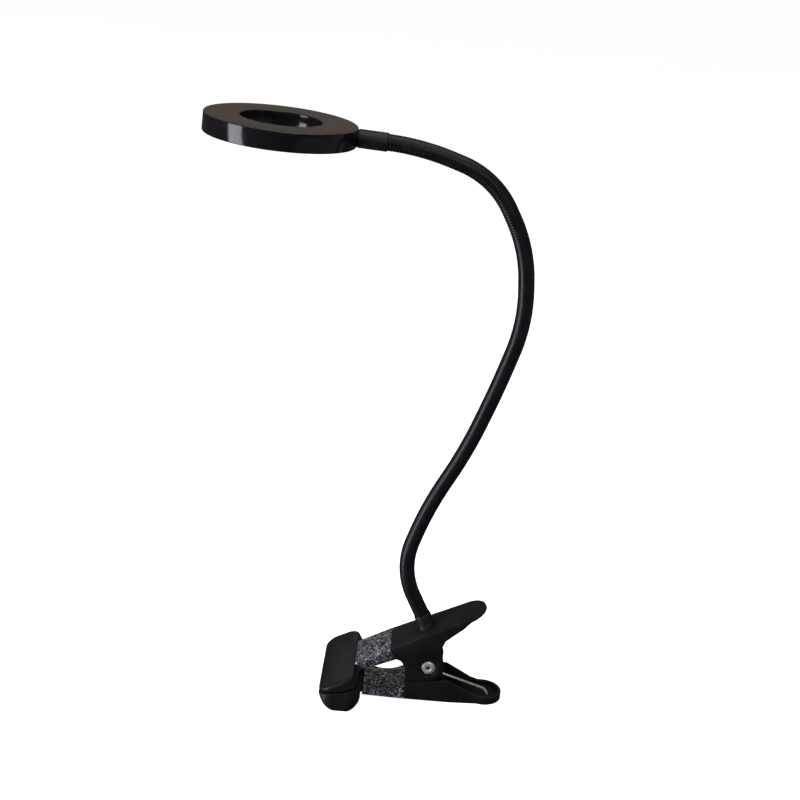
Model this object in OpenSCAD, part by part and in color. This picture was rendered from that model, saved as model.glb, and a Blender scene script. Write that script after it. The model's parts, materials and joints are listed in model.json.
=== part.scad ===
// Clip-on ring lamp for curing resin: a spring clip, a bendable gooseneck and a ring head
// that shines ultraviolet light downwards. Millimetres. +X points to the clip's handles,
// +Z is up, and the clip's middle plane is Y = 0. The origin is the middle of the flat
// land under the clip's front foot, which stands on the bench with the lower handle.

/* [Head] */
// Outside diameter of the ring head
head_d = 80; // [76:1:90]
// Diameter of the hole through the ring head
head_hole_d = 42.6; // [40:0.2:44]
// Height of the ring head
head_h = 9.8; // [9.6:0.2:12]
// Wall thickness of the head housing
head_wall = 1.6; // [1.4:0.1:2]
// Number of light-emitting diodes round the board
led_count = 24; // [12:2:30]
// Number of chip resistors on the board
resistor_count = 6; // [3:3:9]
// Length of the ferrule between the head and the gooseneck
ferrule_len = 16; // [14:0.5:20]

/* [Gooseneck] */
// Outside diameter of the gooseneck
neck_d = 8.8; // [8:0.2:9.4]
// Diameter of the bore that carries the lead
neck_bore_d = 5.2; // [4.4:0.2:5.6]
// Straight length from the clip to the first pivot
root_len = 16; // [14:1:20]
// Length of each bending link
link_len = 40; // [36:0.2:44]
// How far each link curves as the lamp stands, in degrees, from the clip to the head
link_turn = [-44.8, -9.7, 7.5, 3.3, 21.1, 24.6, 42.5, 15.1]; // [-45:0.1:45]
// Diameter of the supply lead
lead_d = 2.2; // [2:0.1:2.3]

/* [Clip] */
// Angle of the upper jaw's top plate above the bench
plate_angle = 27; // [26:0.5:27]
// Thickness of the jaws' plates
plate_t = 2.2; // [2:0.1:2.4]
// Length of both nose bars, across the clip
nose_len = 61; // [56:1:66]
// Width of each arm at its neck
arm_w = 26.6; // [26:0.2:28]
// Diameter of the pivot rivet's shank
rivet_d = 5; // [4.6:0.2:5]
// Diameter of the spring's wire
wire_d = 1.6; // [1.4:0.1:1.6]
// Full turns in the spring's coil
spring_turns = 4; // [3:1:4]
// Thickness of the speckled sleeves on the arms
sleeve_t = 0.8; // [0.6:0.1:1]

/* [Hidden] */
$fn = 96;
eps = 0.02;
link_count = len(link_turn);

// ---- places that the pieces share ----
// The pivot rivet's axis, in X and Z
rivet = [48.3, 22];
// The upper jaw's own frame has the rivet as its origin, s along the plate, n square to it
plate_n = 19.75;
nose_n = 19.0;
step_s = -15.1;
arm_end_x = 35.4;
nose_s = [-59.7, -37.6];
tip_s = 43.8;
upper_end_r = 11.8;
base_s = 7.4;
lower_tip_x = 92;
lower_end_r = 10.5;
lower_nose_x = [-13.7, 10.5];
foot_r = 13.6;
foot_z = 12.9;
nose_corner = 8;
ear_r = 7.7;
ear_hole_r = rivet_d / 2 + 0.06;
lug_y = [6.3, 8.0];
upper_cavity = 8.4;
spotface_y = 10.9;
// The plane where the closed jaws meet: a point on it, and its slope
part_p = [-12.6, 9.9];
part_angle = 11;
// The line along which the ears stand over the lower jaw's flanges
ear_line = [[arm_end_x, 13.0], [rivet[0], 14.23]];

// ---- the gooseneck's path, in X and Z ----
function dir(a) = [cos(a), sin(a)];
function from_upper(s, n) = rivet + s * dir(plate_angle) + n * dir(plate_angle + 90);
function turned(k) = k <= 1 ? 0 : turned(k - 1) + link_turn[k - 2];
function heading(k) = plate_angle + 90 + turned(k);
// Each link starts with a straight socket and then curves evenly to its end
socket_len = 5;
arc_len = link_len - socket_len;
function chord(a) = abs(a) < 0.5 ? arc_len : arc_len * sin(abs(a) / 2) * 360 / (PI * abs(a));
function link_reach(k) = socket_len * dir(heading(k))
    + chord(link_turn[k - 1]) * dir(heading(k) + link_turn[k - 1] / 2);
function pivot(k) = k <= 1
    ? from_upper(base_s, plate_n) + root_len * dir(heading(1))
    : pivot(k - 1) + link_reach(k - 1);
neck_end = pivot(link_count + 1);
end_heading = heading(link_count + 1);
head_centre = neck_end + (ferrule_len + head_d / 2) * dir(end_heading);

// ---- the knuckles, where each ball swivels in the next link's cup ----
neck_r = neck_d / 2;
bore_r = neck_bore_d / 2;
ball_r = neck_r - 0.1;
ball_len = 2.6;
socket_r = ball_r + 0.12;
socket_x = 2;
lead_gap = 1;
// The curved middle of a link is a hair slimmer than its ends, which lap over it
slim = 0.02;
lap = 0.3;

// ---- the head, in its own frame: +x to the gooseneck, z up ----
head_r = head_d / 2;
hole_r = head_hole_d / 2;
top_z = head_h / 2;
roof_z = top_z - head_wall;
board_top = roof_z - 2.5;
board_t = 1.2;
board_bottom = board_top - board_t;
board_r = [hole_r + 2.2, head_r - 2.6];
led_r = (board_r[0] + board_r[1]) / 2 - 3;
screw_r = (board_r[0] + board_r[1]) / 2 + 3.4;
screw_angles = [60, 180, 300];
boss_r = 2.2;
thread_r = 0.78;
spigot_r = 2.2;
notch_w = 14;
nut_t = 2.2;
cup_len = 8;

// ======== frames ========

module in_xz(p, angle) {
    translate([p[0], 0, p[1]]) rotate([0, -angle, 0]) children();
}

module in_upper() {
    in_xz(rivet, plate_angle) children();
}

module in_head() {
    in_xz(head_centre, end_heading - 180) children();
}

// An outline in X and Z, made `w` wide about Y = 0
module side_profile(w) {
    rotate([90, 0, 0]) linear_extrude(w, center = true) children();
}

// A cylinder along Y at [x, z]
module cross_bar(p, r, y0, y1) {
    translate([p[0], y1, p[1]]) rotate([90, 0, 0]) cylinder(r = r, h = y1 - y0);
}

// ======== head ========

module ring(r_in, r_out, z0, z1) {
    translate([0, 0, z0]) difference() {
        cylinder(r = r_out, h = z1 - z0, $fn = 180);
        translate([0, 0, -1]) cylinder(r = r_in, h = z1 - z0 + 2, $fn = 180);
    }
}

module on_circle(r, angles) {
    for (a = angles) rotate([0, 0, a]) translate([r, 0, 0]) children();
}

module along_x(x0, x1, r) {
    translate([x0, 0, 0]) rotate([0, 90, 0]) cylinder(r = r, h = x1 - x0);
}

// An annular channel, open underneath, with three screw bosses under its roof
module head_housing() {
    color("#1b1a1d") in_head() difference() {
        union() {
            ring(hole_r, head_r, roof_z, top_z);
            ring(head_r - head_wall, head_r, -top_z, roof_z + eps);
            ring(hole_r, hole_r + head_wall, -top_z, roof_z + eps);
            on_circle(screw_r, screw_angles) translate([0, 0, board_top])
                cylinder(r = boss_r, h = roof_z - board_top + eps);
        }
        on_circle(screw_r, screw_angles) translate([0, 0, board_top - eps])
            cylinder(r = thread_r + 0.02, h = 2.2);
        along_x(head_r - head_wall - 1, head_r + 1, spigot_r + 0.05);
    }
}

module led_board() {
    color("#e9e9e4") in_head() difference() {
        ring(board_r[0], board_r[1], board_bottom, board_top);
        on_circle(screw_r, screw_angles) translate([0, 0, board_bottom - 1])
            cylinder(r = 1.1, h = board_t + 2);
        translate([head_r - 5.4, -notch_w / 2, board_bottom - 1])
            cube([10, notch_w, board_t + 2]);
    }
}

module uv_leds() {
    size = [3.5, 2.8, 1];
    lens_r = 1.1;
    color("#f3e7a0") in_head()
        on_circle(led_r, [for (i = [0:led_count - 1]) (i + 0.5) * 360 / led_count])
            translate([0, 0, board_bottom - size[2]]) difference() {
                translate([-size[0] / 2, -size[1] / 2, 0]) cube(size);
                translate([0, 0, -1]) cylinder(r = lens_r, h = 1.3, $fn = 24);
            }
}

module chip_resistors() {
    size = [1.2, 3, 0.6];
    first = 24;
    color("#2c2c2e") in_head()
        on_circle(screw_r, [for (i = [0:resistor_count - 1]) first + i * 360 / resistor_count])
            translate([-size[0] / 2, -size[1] / 2, board_bottom - size[2]]) cube(size);
}

module diffuser_ring() {
    gap = 0.1;
    color("#dfe3ee", 0.8) in_head()
        ring(hole_r + head_wall + gap, head_r - head_wall - gap, -top_z + 0.3, -top_z + 1.8);
}

module board_screws() {
    screw_head_r = 1.9;
    screw_head_t = 1.2;
    slot = [2.2, 0.4, 0.7];
    color("silver") in_head() on_circle(screw_r, screw_angles) difference() {
        union() {
            translate([0, 0, board_bottom - screw_head_t]) cylinder(r = screw_head_r, h = screw_head_t);
            translate([0, 0, board_bottom - eps]) cylinder(r = thread_r, h = board_t + 2);
        }
        translate([0, 0, board_bottom - screw_head_t - 0.1]) for (a = [0, 90]) rotate([0, 0, a])
            translate([-slot[0] / 2, -slot[1] / 2, 0]) cube(slot);
    }
}

// A collar on the ring's rim, with a threaded spigot through the wall
module head_ferrule() {
    rim = head_r;
    cup = rim + ferrule_len - cup_len;
    color("#202023") in_head() difference() {
        union() {
            along_x(rim + 0.35, rim + ferrule_len, neck_r + 0.5);
            along_x(rim + 0.05, rim + 1.6, neck_r + 0.2);
            along_x(rim - head_wall - nut_t - 0.6, rim + 1, spigot_r);
        }
        along_x(rim - 6, rim + ferrule_len + 1, lead_d / 2 + 0.3);
        along_x(cup, rim + ferrule_len + 1, neck_r + 0.03);
    }
}

module ferrule_nut() {
    rim = head_r - head_wall - 0.25;
    color("silver") in_head() difference() {
        translate([rim - nut_t, 0, 0]) rotate([0, 90, 0]) rotate([0, 0, 30])
            cylinder(r = 3.5, h = nut_t, $fn = 6);
        along_x(rim - nut_t - 1, rim + 1, spigot_r + 0.02);
    }
}

module head_lead() {
    color("#c8342b") in_head() along_x(head_r - 5, head_r + ferrule_len - cup_len - lead_gap, lead_d / 2);
}

// ======== gooseneck ========

// A straight tube along +x
module tube(x0, x1, r_out, r_in) {
    difference() {
        along_x(x0, x1, r_out);
        along_x(x0 - 1, x1 + 1, r_in);
    }
}

// A tube that starts at the origin towards +x and curves by `turn` over `length`
module curved_tube(r_out, r_in, length, turn) {
    if (abs(turn) < 0.5) {
        tube(0, length, r_out, r_in);
    } else {
        bend_r = length * 180 / (PI * abs(turn));
        mirror([0, 0, turn < 0 ? 1 : 0]) translate([0, 0, bend_r]) rotate([90, 0, 0])
            rotate([0, 0, -90]) rotate_extrude(angle = abs(turn), $fn = 360)
                translate([bend_r, 0]) difference() {
                    circle(r = r_out, $fn = 48);
                    if (r_in > 0) circle(r = r_in, $fn = 48);
                }
    }
}

module at_pivot(k) {
    in_xz(pivot(k), heading(k)) children();
}

module at_link_end(k) {
    turn = link_turn[k - 1];
    in_xz([socket_len, 0] + chord(turn) * dir(turn / 2), turn) children();
}

// A half profile in x (along the neck) and r (across it), turned about the neck's axis
module turned_on_x() {
    rotate([0, 90, 0]) rotate_extrude() rotate([0, 0, 90]) mirror([0, 1]) children();
}

// The end that swivels in the next link: a collar and half a ball, bored through
module ball_end() {
    turned_on_x() difference() {
        union() {
            intersection() {
                circle(r = ball_r);
                square([ball_len, ball_r]);
            }
            translate([-lap, 0]) square([lap, neck_r]);
        }
        translate([-lap - 1, -1]) square([ball_r + lap + 2, bore_r + 1]);
    }
}

// The start of a link: a short tube whose mouth is a cup for the ball before it
module socket_start() {
    turned_on_x() difference() {
        translate([socket_x, bore_r]) square([socket_len + lap - socket_x, neck_r - bore_r]);
        circle(r = socket_r);
    }
}

// A stub that stands straight up in the base ferrule and ends in a ball
module gooseneck_root() {
    color("#26262a") at_pivot(1) union() {
        tube(-root_len + 2, 0, neck_r - slim, bore_r + slim);
        ball_end();
    }
}

// A link: a cup, a curved tube, and a ball, or on the last link a plain end for the ferrule
module gooseneck_link(k) {
    color("#26262a") at_pivot(k) union() {
        socket_start();
        translate([socket_len, 0, 0])
            curved_tube(neck_r - slim, bore_r + slim, arc_len, link_turn[k - 1]);
        at_link_end(k) if (k == link_count) tube(-lap, cup_len - 0.2, neck_r, bore_r); else ball_end();
    }
}

module lead_root() {
    color("#c8342b") at_pivot(1) along_x(-root_len - 2, -lead_gap, lead_d / 2);
}

// The stretch of the lead inside one link, short of the pivots so that it never pinches
module lead(k) {
    turn = link_turn[k - 1];
    shown = k == link_count ? 1 : 1 - lead_gap / arc_len;
    color("#c8342b") at_pivot(k) union() {
        along_x(lead_gap, socket_len + lap, lead_d / 2);
        translate([socket_len, 0, 0])
            curved_tube(lead_d / 2 - slim, 0, arc_len * shown, turn * shown);
        if (k == link_count) at_link_end(k) along_x(-lap, cup_len - lead_gap, lead_d / 2);
    }
}

// ======== the fitting that holds the gooseneck on the clip ========

module at_base() {
    in_upper() translate([base_s, 0, plate_n]) children();
}

stub_r = 3.9;
washer_t = 0.78;
base_nut_t = 2.98;
seat = 0.02;
stub_end = -(plate_t + washer_t + base_nut_t + 2 * seat + 0.6);

module base_ferrule() {
    color("#202023") at_base() difference() {
        union() {
            translate([0, 0, 0.05]) cylinder(r = neck_r + 1.9, h = 1.2);
            translate([0, 0, 0.05]) cylinder(r = neck_r + 0.95, h = 8.4);
            translate([0, 0, stub_end]) cylinder(r = stub_r, h = -stub_end + 1);
        }
        translate([0, 0, stub_end - 1]) cylinder(r = bore_r, h = 30);
        translate([0, 0, 2 - 0.05]) cylinder(r = neck_r + 0.03, h = 20);
    }
}

module base_washer() {
    color("silver") at_base() translate([0, 0, -plate_t - seat - washer_t]) difference() {
        cylinder(r = 7, h = washer_t);
        translate([0, 0, -1]) cylinder(r = stub_r + 0.15, h = 3);
    }
}

module base_nut() {
    color("silver") at_base() translate([0, 0, -plate_t - 2 * seat - washer_t - base_nut_t]) difference() {
        cylinder(r = 6.9, h = base_nut_t, $fn = 6);
        translate([0, 0, -1]) cylinder(r = stub_r + 0.02, h = 5);
    }
}

// The rubber gland in the stub's lower end, where the cord goes in
module cord_grommet() {
    color("#171717") at_base() translate([0, 0, stub_end]) difference() {
        union() {
            translate([0, 0, -1.2]) cylinder(r = stub_r, h = 1.18);
            translate([0, 0, -1]) cylinder(r = bore_r - 0.03, h = 4.5);
        }
        translate([0, 0, -2]) cylinder(r = 1.75, h = 8);
    }
}

// ======== clip outlines ========

// A bar of length `len` along y, between x = x0 and x1, with round corners, seen from above
module nose_plan(x0, x1, length, r) {
    for (y = [-1, 1]) for (x = [x0 + r, x1 - r]) translate([x, y * (length / 2 - r)]) circle(r = r);
    translate([x0, -length / 2 + r]) square([x1 - x0, length - 2 * r]);
    translate([x0 + r, -length / 2]) square([x1 - x0 - 2 * r, length]);
}

// The upper jaw's handle seen square to its plate; `in` moves the outline inwards
module upper_plan(in) {
    w = arm_w / 2 - in;
    end_r = upper_end_r - in;
    end_s = tip_s - upper_end_r;
    polygon([[step_s, -w], [14, -12.3 + in], [end_s, -end_r + 0.1], [end_s, end_r - 0.1],
             [14, 12.3 - in], [step_s, w]]);
    translate([end_s, 0]) circle(r = end_r);
}

// The lower jaw's handle seen from above
module lower_plan(in) {
    w = arm_w / 2 - in;
    end_r = lower_end_r - in;
    end_x = lower_tip_x - lower_end_r;
    polygon([[arm_end_x, -w], [60, -11.2 + in], [end_x, -end_r + 0.8], [end_x, end_r - 0.8],
             [60, 11.2 - in], [arm_end_x, w]]);
    translate([end_x, 0]) circle(r = end_r);
}

// The side of the upper handle: plate, flange and the front of the ears, without the lobe
module upper_side() {
    polygon([[step_s, plate_n], [step_s, 14], [-16.5, 13.2], [-14, 12.2], [-12.4, 10.2], [-12.1, 5.5],
             [-15.6, -2.3], [-14.3, -3.6], [0, 0], [ear_r, 0], [11, 6], [13.2, 9.6], [16, 12.1],
             [28.9, 15.4], [tip_s - 10, plate_n - plate_t], [tip_s, plate_n - plate_t],
             [tip_s, plate_n]]);
}

// ======== upper jaw ========

module upper_nose_block() {
    intersection() {
        linear_extrude(60, center = true) nose_plan(nose_s[0], nose_s[1], nose_len, nose_corner);
        side_profile(nose_len) polygon([[nose_s[0], nose_n], [nose_s[0], 17.1],
            [nose_s[1] - 2, 11.5], [nose_s[1], 12.3], [nose_s[1], nose_n]]);
    }
}

// The arm between the nose and the handle, thinned where the sleeve wraps it
module upper_neck(in) {
    side_profile(arm_w - 2 * in) difference() {
        polygon([[nose_s[1] - 2, nose_n - in], [nose_s[1] - 2, 14 + in],
                 [step_s, 12.6 + in], [step_s, plate_n - in]]);
        translate([-26, -7.5]) circle(r = 20.5 + in);
    }
}

module upper_jaw() {
    color("#1d1d20") difference() {
        union() {
            in_upper() upper_nose_block();
            in_upper() upper_neck(sleeve_t + 0.1);
            difference() {
                in_upper() intersection() {
                    linear_extrude(80, center = true) upper_plan(0);
                    side_profile(60) union() {
                        upper_side();
                        circle(r = ear_r);
                        polygon([[-14.3, -3.6], [0, -ear_r + 0.05], [0, 4], [-12, 6]]);
                    }
                }
                in_upper() translate([0, 0, plate_n - plate_t - 60]) linear_extrude(60)
                    intersection() {
                        upper_plan(2);
                        translate([step_s + 2.4, -upper_cavity]) square([80, 2 * upper_cavity]);
                    }
                // The ears stop at the line over the lower jaw's flanges
                translate([0, 50, 0]) rotate([90, 0, 0]) linear_extrude(100) polygon([
                    ear_line[0] - [20, 1.9], ear_line[1] - [0, 0.02], [rivet[0], 4], [20, 4]]);
            }
        }
        cross_bar(rivet, ear_hole_r, -30, 30);
        for (y = [spotface_y, -spotface_y - 10]) cross_bar(rivet, 4.8, y, y + 10);
        at_base() translate([0, 0, -10]) cylinder(r = stub_r + 0.1, h = 11);
        pad_pocket(1);
    }
}

// ======== lower jaw ========

module lower_nose_block() {
    top_p = part_p - 0.65 * dir(part_angle + 90);
    intersection() {
        translate([0, 0, -1]) linear_extrude(40)
            nose_plan(lower_nose_x[0], lower_nose_x[1], nose_len, nose_corner);
        side_profile(nose_len) intersection() {
            union() {
                translate([0, foot_z]) circle(r = foot_r);
                translate([0, foot_z]) square([foot_r, 6]);
            }
            translate([-20, 0]) square([40, 40]);
            polygon([[-16, -1], top_p - 3 * dir(part_angle), top_p + 25 * dir(part_angle), [14, -1]]);
        }
    }
}

module lower_neck(in) {
    end_x = arm_end_x + 2.1;
    side_profile(arm_w - 2 * in) difference() {
        polygon([[6, 2.4 + in], [13.4, 2 + in], [end_x, 1.4 + in], [end_x, 11 - in], [6, 11 - in]]);
        translate([23, 24.6]) circle(r = 19.3 + in);
    }
}

module lower_side() {
    polygon([[arm_end_x, 1.4], [61, 0], [lower_tip_x, 0], [lower_tip_x, 4.7], [79.5, 5], [73.8, 6.6],
             [59.6, 14], [rivet[0], 13.6], [37.6, 12.6], [36.2, 12], [arm_end_x, 10.6]]);
}

// The two lugs that stand inside the upper jaw's ears and carry the rivet
module lower_lugs() {
    for (y = [lug_y[0], -lug_y[1]]) difference() {
        union() {
            cross_bar(rivet, 8.6, y, y + lug_y[1] - lug_y[0]);
            translate([0, y + lug_y[1] - lug_y[0], 0]) rotate([90, 0, 0])
                linear_extrude(lug_y[1] - lug_y[0])
                    polygon([[38.5, 1.2], [60, 1.2], [56.6, 19.6], [40, 19.6]]);
        }
        cross_bar(rivet, rivet_d / 2 + 0.03, y - 1, y + 3);
    }
}

module lower_jaw() {
    floor_t = plate_t;
    color("#1c1c1f") union() {
        difference() {
            union() {
                lower_nose_block();
                lower_neck(sleeve_t + 0.1);
            }
            pad_pocket(-1);
        }
        difference() {
            intersection() {
                translate([0, 0, -1]) linear_extrude(40) lower_plan(0);
                side_profile(60) lower_side();
            }
            translate([0, 0, floor_t]) linear_extrude(40) intersection() {
                lower_plan(2);
                translate([arm_end_x + plate_t, -20]) square([60, 40]);
            }
            // Room for the ears' round lobes to turn
            for (y = [upper_cavity - 0.3, -22]) cross_bar(rivet, ear_r + 0.35, y, y + 14);
        }
        lower_lugs();
    }
}

// ======== grip pads, let into the faces where the noses meet ========

pad_len = 50;
pad_w = 14;
pad_depth = 1.2;

module at_parting() {
    in_xz(part_p + 11 * dir(part_angle), part_angle) children();
}

// `side` is 1 for the pocket in the upper nose and -1 for the lower
module pad_pocket(side) {
    at_parting() translate([-pad_w / 2, -pad_len / 2, side > 0 ? 0.15 : -0.15 - pad_depth])
        cube([pad_w, pad_len, pad_depth]);
}

// A flat pad with grooves along its length
module grip_pad(side) {
    at_parting() mirror([0, 0, side > 0 ? 0 : 1]) difference() {
        translate([-pad_w / 2 + 0.05, -pad_len / 2 + 0.05, 0.15])
            cube([pad_w - 0.1, pad_len - 0.1, pad_depth - 0.02]);
        for (x = [-5.2, -2.6, 0, 2.6, 5.2])
            translate([x - 0.5, -pad_len / 2 - 1, 0.1]) cube([1, pad_len + 2, 0.35]);
    }
}

module upper_grip_pad() {
    color("#2b2b2b") grip_pad(1);
}

module lower_grip_pad() {
    color("#2b2b2b") grip_pad(-1);
}

// ======== speckled sleeves round the arms' necks ========

module upper_sleeve() {
    color("#8b93a3") in_upper() intersection() {
        difference() {
            upper_neck(0);
            upper_neck(sleeve_t + 0.05);
        }
        translate([nose_s[1] + 0.1, -20, 0]) cube([step_s - nose_s[1] - 0.2, 40, 40]);
    }
}

module lower_sleeve() {
    color("#8b93a3") intersection() {
        difference() {
            lower_neck(0);
            lower_neck(sleeve_t + 0.05);
        }
        translate([lower_nose_x[1] + 0.9, -20, 0]) cube([arm_end_x - 0.1 - lower_nose_x[1] - 0.9, 40, 40]);
    }
}

// ======== pivot ========

module pivot_rivet() {
    head_t = 1.3;
    reach = spotface_y + 0.1;
    color("#c9c6bf") difference() {
        union() {
            cross_bar(rivet, rivet_d / 2, -reach - 0.1, reach + 0.1);
            for (y = [reach, -reach - head_t]) cross_bar(rivet, 4.3, y, y + head_t);
        }
        for (y = [reach - 4, -reach - head_t - 1]) cross_bar(rivet, 1.3, y, y + head_t + 5);
    }
}

// ======== torsion spring: a coil on the rivet and two legs under the handles ========

coil_r = 4.6;
coil_y = [-3.4, 3.4];
wire_sides = 8;
coil_steps = 16;
lower_leg_end = [82.4, 6.6];
lower_leg_tip = [83.9, plate_t + wire_d / 2 + 0.2];
upper_leg_end = from_upper(30, plate_n - plate_t - wire_d / 2 - 0.3);

// The angle on the coil where a straight leg to `p` leaves it, above or below the rivet
function leave(p, up) = atan2(p[1] - rivet[1], p[0] - rivet[0])
    + (up ? 1 : -1) * acos(coil_r / norm(p - rivet));
start_a = leave(lower_leg_end, false);
stop_a = leave(upper_leg_end, true) - 360 * spring_turns;
steps = coil_steps * spring_turns;
spring_path = concat(
    [[lower_leg_tip[0], coil_y[0], lower_leg_tip[1]], [lower_leg_end[0], coil_y[0], lower_leg_end[1]]],
    [for (i = [0:steps]) let (f = i / steps, a = start_a + (stop_a - start_a) * f)
        [rivet[0] + coil_r * cos(a), coil_y[0] + (coil_y[1] - coil_y[0]) * f,
         rivet[1] + coil_r * sin(a)]],
    [[upper_leg_end[0], coil_y[1], upper_leg_end[1]]]);

function unit(v) = v / norm(v);
function tangent(p, i) = unit(p[min(i + 1, len(p) - 1)] - p[max(i - 1, 0)]);

// Sweeps a round wire along a path; rings stay square to the path and refer to the Y axis
module wire(p, r, sides) {
    n = len(p);
    points = [for (i = [0:n - 1]) let (t = tangent(p, i), u = unit(cross(t, [0, 1, 0])),
        v = cross(t, u)) for (j = [0:sides - 1])
            p[i] + r * (cos(360 * j / sides) * u + sin(360 * j / sides) * v)];
    walls = [for (i = [0:n - 2]) for (j = [0:sides - 1]) let (k = (j + 1) % sides)
        [i * sides + j, i * sides + k, (i + 1) * sides + k, (i + 1) * sides + j]];
    first = [for (j = [sides - 1:-1:0]) j];
    last = [for (j = [0:sides - 1]) (n - 1) * sides + j];
    polyhedron(points = points, faces = concat([first], walls, [last]), convexity = 6);
}

module torsion_spring() {
    color("#b9b39f") wire(spring_path, wire_d / 2, wire_sides);
}

// ======== the nodes ========

head_housing();
led_board();
uv_leds();
chip_resistors();
diffuser_ring();
board_screws();
head_ferrule();
ferrule_nut();
head_lead();
gooseneck_root();
for (k = [1:link_count]) gooseneck_link(k);
lead_root();
for (k = [1:link_count]) lead(k);
base_ferrule();
base_washer();
base_nut();
cord_grommet();
upper_jaw();
lower_jaw();
upper_grip_pad();
lower_grip_pad();
upper_sleeve();
lower_sleeve();
pivot_rivet();
torsion_spring();
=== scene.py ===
"""Clip-on ring lamp for curing resin: the looks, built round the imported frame.

Lengths are in metres. +X points from the foot to the clip's handles, +Z is up, and the clip's
middle plane is Y = 0. Each sub-assembly is a class that makes its meshes and dresses them.
"""

import json
import logging
import math
from collections.abc import Callable, Sequence
from dataclasses import dataclass
from enum import Enum

import bmesh
import bpy
from mathutils import Matrix, Vector


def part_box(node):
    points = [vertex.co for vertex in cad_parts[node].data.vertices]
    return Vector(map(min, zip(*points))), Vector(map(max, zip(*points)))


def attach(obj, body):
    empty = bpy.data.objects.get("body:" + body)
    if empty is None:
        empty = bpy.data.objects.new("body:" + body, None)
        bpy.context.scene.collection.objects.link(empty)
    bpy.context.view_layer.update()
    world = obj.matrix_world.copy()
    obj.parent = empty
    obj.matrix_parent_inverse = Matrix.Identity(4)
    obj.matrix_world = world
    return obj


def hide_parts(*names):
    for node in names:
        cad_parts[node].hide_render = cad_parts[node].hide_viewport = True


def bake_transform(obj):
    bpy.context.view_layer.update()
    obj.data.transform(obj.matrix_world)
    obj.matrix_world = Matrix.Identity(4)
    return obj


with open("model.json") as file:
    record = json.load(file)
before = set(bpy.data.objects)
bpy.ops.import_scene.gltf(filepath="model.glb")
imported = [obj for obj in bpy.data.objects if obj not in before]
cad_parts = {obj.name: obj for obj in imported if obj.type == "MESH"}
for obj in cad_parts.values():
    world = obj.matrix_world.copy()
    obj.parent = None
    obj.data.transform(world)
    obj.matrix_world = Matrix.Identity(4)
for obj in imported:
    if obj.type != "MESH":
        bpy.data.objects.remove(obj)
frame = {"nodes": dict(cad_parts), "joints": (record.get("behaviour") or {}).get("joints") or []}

log = logging.getLogger("lamp")

MM = 0.001
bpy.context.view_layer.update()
WELD = 4e-6  # points nearer than this, in a CAD node's mesh, are one point
FLAT_ANGLE = 0.6  # degrees; faces that meet at less are merged into one
SMOOTH_ANGLE = 50.0  # degrees; sharper edges stay sharp on round pieces
EPS = 1e-6  # radians; a smaller turn is no turn

Colour = tuple[float, float, float]
Outline = Sequence[tuple[float, float]]
Piece = bpy.types.Object


class Slot(Enum):
    """The record's material slots, listed beside some pieces' finishes but given to no piece."""

    HOUSING = "housing_black"
    BOARD = "board_white"
    LED = "led_pale"
    CHIP = "chip_black"
    DIFFUSER = "diffuser_frost"
    FASTENER = "fastener_steel"
    FERRULE = "ferrule_black"
    LEAD = "lead_red"
    NECK = "neck_black"
    CLIP = "clip_black"
    PAD = "pad_rubber"
    SLEEVE = "sleeve_speckle"
    RIVET = "rivet_steel"
    SPRING = "spring_steel"
    GROMMET = "grommet_rubber"


class Along(Enum):
    """The axis along which a turned piece lies in its own frame."""

    X = "x"
    Y = "y"
    Z = "z"

    def turn(self) -> Matrix:
        """The turn that lays a piece made along Z along this axis."""
        turns = {
            Along.X: Matrix.Rotation(math.radians(90), 4, "Y"),
            Along.Y: Matrix.Rotation(math.radians(-90), 4, "X"),
            Along.Z: Matrix.Identity(4),
        }
        return turns[self]


# ---- modelling helpers ----


def make_active(piece: Piece) -> None:
    """Selects one piece, and nothing else, and makes it the active object."""
    bpy.ops.object.select_all(action="DESELECT")
    piece.select_set(True)
    bpy.context.view_layer.objects.active = piece


def newest(name: str) -> Piece:
    """Names the object that an operator has just added, and returns it."""
    piece = bpy.context.view_layer.objects.active
    piece.name = name
    piece.data.name = name
    return piece


def select_edges(piece: Piece, test: Callable[[bmesh.types.BMEdge], bool]) -> int:
    """Selects, in edit mode, the edges that pass a test.

    Args:
        piece: The object that is in edit mode.
        test: Says whether an edge is wanted.

    Returns:
        How many edges are selected.
    """
    bpy.ops.mesh.select_mode(type="EDGE")
    bpy.ops.mesh.select_all(action="DESELECT")
    mesh = bmesh.from_edit_mesh(piece.data)
    wanted = [edge for edge in mesh.edges if test(edge)]
    for edge in wanted:
        edge.select_set(True)
    bmesh.update_edit_mesh(piece.data)
    return len(wanted)


def apply_modifier(piece: Piece, kind: str, **settings: object) -> None:
    """Adds a modifier with its settings and applies it.

    Args:
        piece: The object to change.
        kind: Blender's name for the modifier's type.
        **settings: The modifier's own settings.
    """
    make_active(piece)
    modifier = piece.modifiers.new(kind.title(), kind)
    for key, value in settings.items():
        setattr(modifier, key, value)
    bpy.ops.object.modifier_apply(modifier=modifier.name)


def soften_edges(piece: Piece, width: float, segments: int = 3, angle: float = 32.0) -> None:
    """Rounds every edge sharper than an angle and shades the piece smooth between the rest.

    Args:
        piece: The object to change.
        width: The rounding's width.
        segments: Faces across each rounding.
        angle: The least angle, in degrees, of an edge that is rounded.
    """
    apply_modifier(
        piece, "BEVEL", width=width, segments=segments, limit_method="ANGLE",
        angle_limit=math.radians(angle), use_clamp_overlap=False, harden_normals=False,
    )
    make_active(piece)
    bpy.ops.object.shade_smooth_by_angle(angle=math.radians(angle))


def settle(piece: Piece, place: Matrix) -> None:
    """Puts a piece in its place and applies that to its mesh; its object stays at the origin."""
    piece.matrix_world = place
    make_active(piece)
    bpy.ops.object.transform_apply(location=True, rotation=True, scale=True)


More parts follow.
